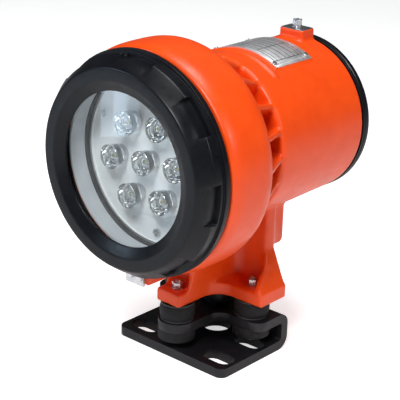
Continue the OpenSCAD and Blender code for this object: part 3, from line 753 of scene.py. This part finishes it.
def add_light_unit():
    """Lenses, cups and LEDs, the sleeve and rings round them, and the glass's edge band."""
    front, back = behind_face(low("lenses").y), behind_face(high("lenses").y)
    height = back - front
    board = behind_face(low("led_board").y)
    flank = [(6.1 + 4.9 * math.sin(math.pi / 2 * t / 10) ** 0.9, back - (height - 1.6) * t / 10)
             for t in range(11)]
    cavity = [(3.8, back), (3.6, back - 2.6), (2.6, back - 3.6), (1.2, back - 4.1), (0, back - 4.3)]
    dish = [(0, front + 1.0), (2.4, front + 0.8), (4.6, front + 0.2), (5.2, front), (10.7, front),
            (11.0, front + 0.3)]
    lens_mesh, cup_mesh, base_mesh, dome_mesh = (bmesh.new() for _ in range(4))
    for x, z in lens_places():
        place = LAMP @ Matrix.Translation((x, z, 0))
        spin(lens_mesh, dish + list(reversed(flank)) + cavity, place, steps=72, closed=False)
        spin(cup_mesh, rounded([(8.25, board - 7, 0.3), (9.6, board - 7, 0.3), (9.0, board - 3, 0),
                                (8.0, board - 0.05, 0.3), (6.4, board - 0.05, 0.2),
                                (6.4, board - 2.5, 0)]), place, steps=72)
        half = 2.4 * MM
        face = FACE_Y + board * MM
        add_box(base_mesh, (x - half, face - 1.0 * MM, AXIS_Z + z - half),
                (x + half, face - 0.02 * MM, AXIS_Z + z + half), 0.25 * MM)
        dome = [(1.9 * math.sin(math.pi / 2 * k / 8), board - 1 - 1.3 * math.cos(math.pi / 2 * k / 8))
                for k in range(9)] + [(0, board - 1)]
        spin(dome_mesh, dome, place, steps=40, closed=False)
    lenses = add_piece("lens_bodies", lens_mesh, "head", LENS)
    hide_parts("lenses")
    cups = add_piece("lens_cups", cup_mesh, "head", CHROME)
    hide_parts("lens_holders")
    bases = add_piece("led_bases", base_mesh, "head", CERAMIC)
    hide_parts("led_emitters")
    add_piece("led_domes", dome_mesh, "head", PHOSPHOR)

    sleeve_start, sleeve_end = behind_face(low("inner_sleeve").y), behind_face(high("inner_sleeve").y)
    sleeve = turned("sleeve", rounded([(80.1, sleeve_start, 0.2), (80.1, sleeve_end, 0.2),
                                       (78.3, sleeve_end, 0.4), (78.3, sleeve_start, 0.4)]),
                    LAMP, "head", "white_aluminium", WHITE_ENAMEL)
    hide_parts("inner_sleeve")
    # the spacer ring's dark colour is painted shade: it makes the band between the sleeve and the LED
    # plate dark
    ring_start, ring_end = behind_face(low("spacer_ring").y), behind_face(high("spacer_ring").y)
    spacer = turned("spacer", rounded([(80.1, ring_start, 0.2), (80.1, ring_end, 0.2),
                                       (77.4, ring_end, 0.2), (77.4, ring_start, 0.5)]),
                    LAMP, "head", "dark_plastic", DARK_PLASTIC_AND_SHADE)
    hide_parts("spacer_ring")
    plate_back, plate_front = behind_face(high("led_plate").y), behind_face(low("led_plate").y)
    turned("plate_rim", rounded([(77, plate_front, 0.4), (77, plate_back, 0.2),
                                  (75.2, plate_back, 0.2), (75.2, plate_front, 0.4)]),
           LAMP, "head", "white_aluminium", ALUMINIUM)
    turned("glass_edge_band", [(84.05, 8.2), (84.25, 8.2), (84.25, 19.8), (84.05, 19.8)],
           LAMP, "head", "rubber", RUBBER)


# ---------------------------------------------------------------- camera, light and floor

CAMERA_AT = (0.73995, -0.85973, 0.58205)
CAMERA_AZIMUTH = 40.806
CAMERA_ELEVATION = 21.152
CAMERA_ROLL = 2.0
LENS_MM = 121.17


def add_camera():
    """The camera, aimed by azimuth, elevation and roll."""
    azimuth, elevation, roll = (math.radians(a)
                                for a in (CAMERA_AZIMUTH, CAMERA_ELEVATION, CAMERA_ROLL))
    back = Vector((math.sin(azimuth) * math.cos(elevation),
                   -math.cos(azimuth) * math.cos(elevation), math.sin(elevation)))
    level = Vector((math.cos(azimuth), math.sin(azimuth), 0))
    up = back.cross(level)
    x_axis = math.cos(roll) * level + math.sin(roll) * up
    y_axis = math.cos(roll) * up - math.sin(roll) * level
    data = bpy.data.cameras.new("camera")
    data.lens = LENS_MM
    data.sensor_width = 36
    data.clip_start = 0.01
    data.clip_end = 50
    camera = bpy.data.objects.new("camera", data)
    bpy.context.collection.objects.link(camera)
    turn = Matrix((x_axis, y_axis, back)).transposed().to_4x4()
    camera.matrix_world = Matrix.Translation(CAMERA_AT) @ turn
    bpy.context.scene.camera = camera


def add_area_light(name, at, target, size, watts, colour=(1, 1, 1), height=None):
    """A soft light at a place, facing a target; square unless it has a height of its own."""
    data = bpy.data.lights.new(name, "AREA")
    data.shape = "RECTANGLE"
    data.size = size
    data.size_y = height or size
    data.energy = watts
    data.color = colour
    light = bpy.data.objects.new(name, data)
    bpy.context.collection.objects.link(light)
    light.location = at
    light.visible_camera = False
    light.rotation_euler = (Vector(target) - Vector(at)).to_track_quat("-Z", "Y").to_euler()


def seen_or_given(tree, seen, given):
    """One strength where the camera looks straight at a thing, another for the light it gives."""
    path = tree.nodes.new("ShaderNodeLightPath")
    strength = tree.nodes.new("ShaderNodeMapRange")
    strength.inputs["To Min"].default_value = given
    strength.inputs["To Max"].default_value = seen
    tree.links.new(path.outputs["Is Camera Ray"], strength.inputs["Value"])
    return strength.outputs["Result"]


def add_world(seen, given):
    """A white surround as the camera sees it, and a dimmer one for lighting and reflections."""
    world = bpy.data.worlds.new("surround")
    world.use_nodes = True
    tree = world.node_tree
    background = tree.nodes["Background"]
    background.inputs["Color"].default_value = (1, 1, 1, 1)
    tree.links.new(seen_or_given(tree, seen, given), background.inputs["Strength"])
    bpy.context.scene.world = world


def add_floor(seen, given):
    """A white studio floor that glows for the camera and only faintly lights the lamp."""
    bpy.ops.mesh.primitive_plane_add(size=8, location=(0, 0, -0.0002))
    floor = bpy.context.object
    floor.name = "floor"
    material = surface("floor", (0.88, 0.88, 0.88), (0.90, 0.90, 0.90), (0.6, 0.7), patch=400,
                       Emission_Color=(1, 1, 1, 1))
    tree = material.node_tree
    tree.links.new(seen_or_given(tree, seen, given),
                   tree.nodes["Principled BSDF"].inputs["Emission Strength"])
    floor.data.materials.append(material)


for name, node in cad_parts.items():
    node.data.materials.clear()
    node.data.materials.append(NODE_FINISH.get(name, ZINC))
for name, width in (("base_bracket", 0.8), ("gland_nut", 0.6), ("gland_body", 0.6),
                    ("lock_plate", 0.35), ("lock_plate_screws", 0.5), ("earth_screw", 0.35),
                    ("earth_washers", 0.2), ("buffer_pads_lower", 0.6), ("nameplate", 0.15),
                    ("led_plate_screws", 0.4), ("driver_tray", 0.3), ("terminal_block", 0.5)):
    soften(name, width)

add_camera()
add_world(1.0, 0.07)
add_floor(0.62, 0.16)
aim = (0, 0, 0.17)
add_area_light("key", (0.55, -1.2, 1.45), aim, 0.45, 25)
add_area_light("overhead", (0.1, 0.1, 1.6), aim, 0.7, 14)
add_area_light("front_left", (-1.1, -1.2, 0.75), aim, 0.4, 6, (0.62, 0.80, 1.0))
add_area_light("right_soft", (1.4, 0.1, 0.9), aim, 0.3, 4)
# a narrow panel that the front glass mirrors
add_area_light("glass_panel", (-0.488, -0.582, 0.03), (0, -0.1, 0.24), 0.035, 0.11,
               (0.62, 0.80, 1.0), 0.20)
bpy.context.scene.view_settings.view_transform = "Standard"

add_casting()
add_bezel()
add_rear_cover()
add_buffers()
add_light_unit()
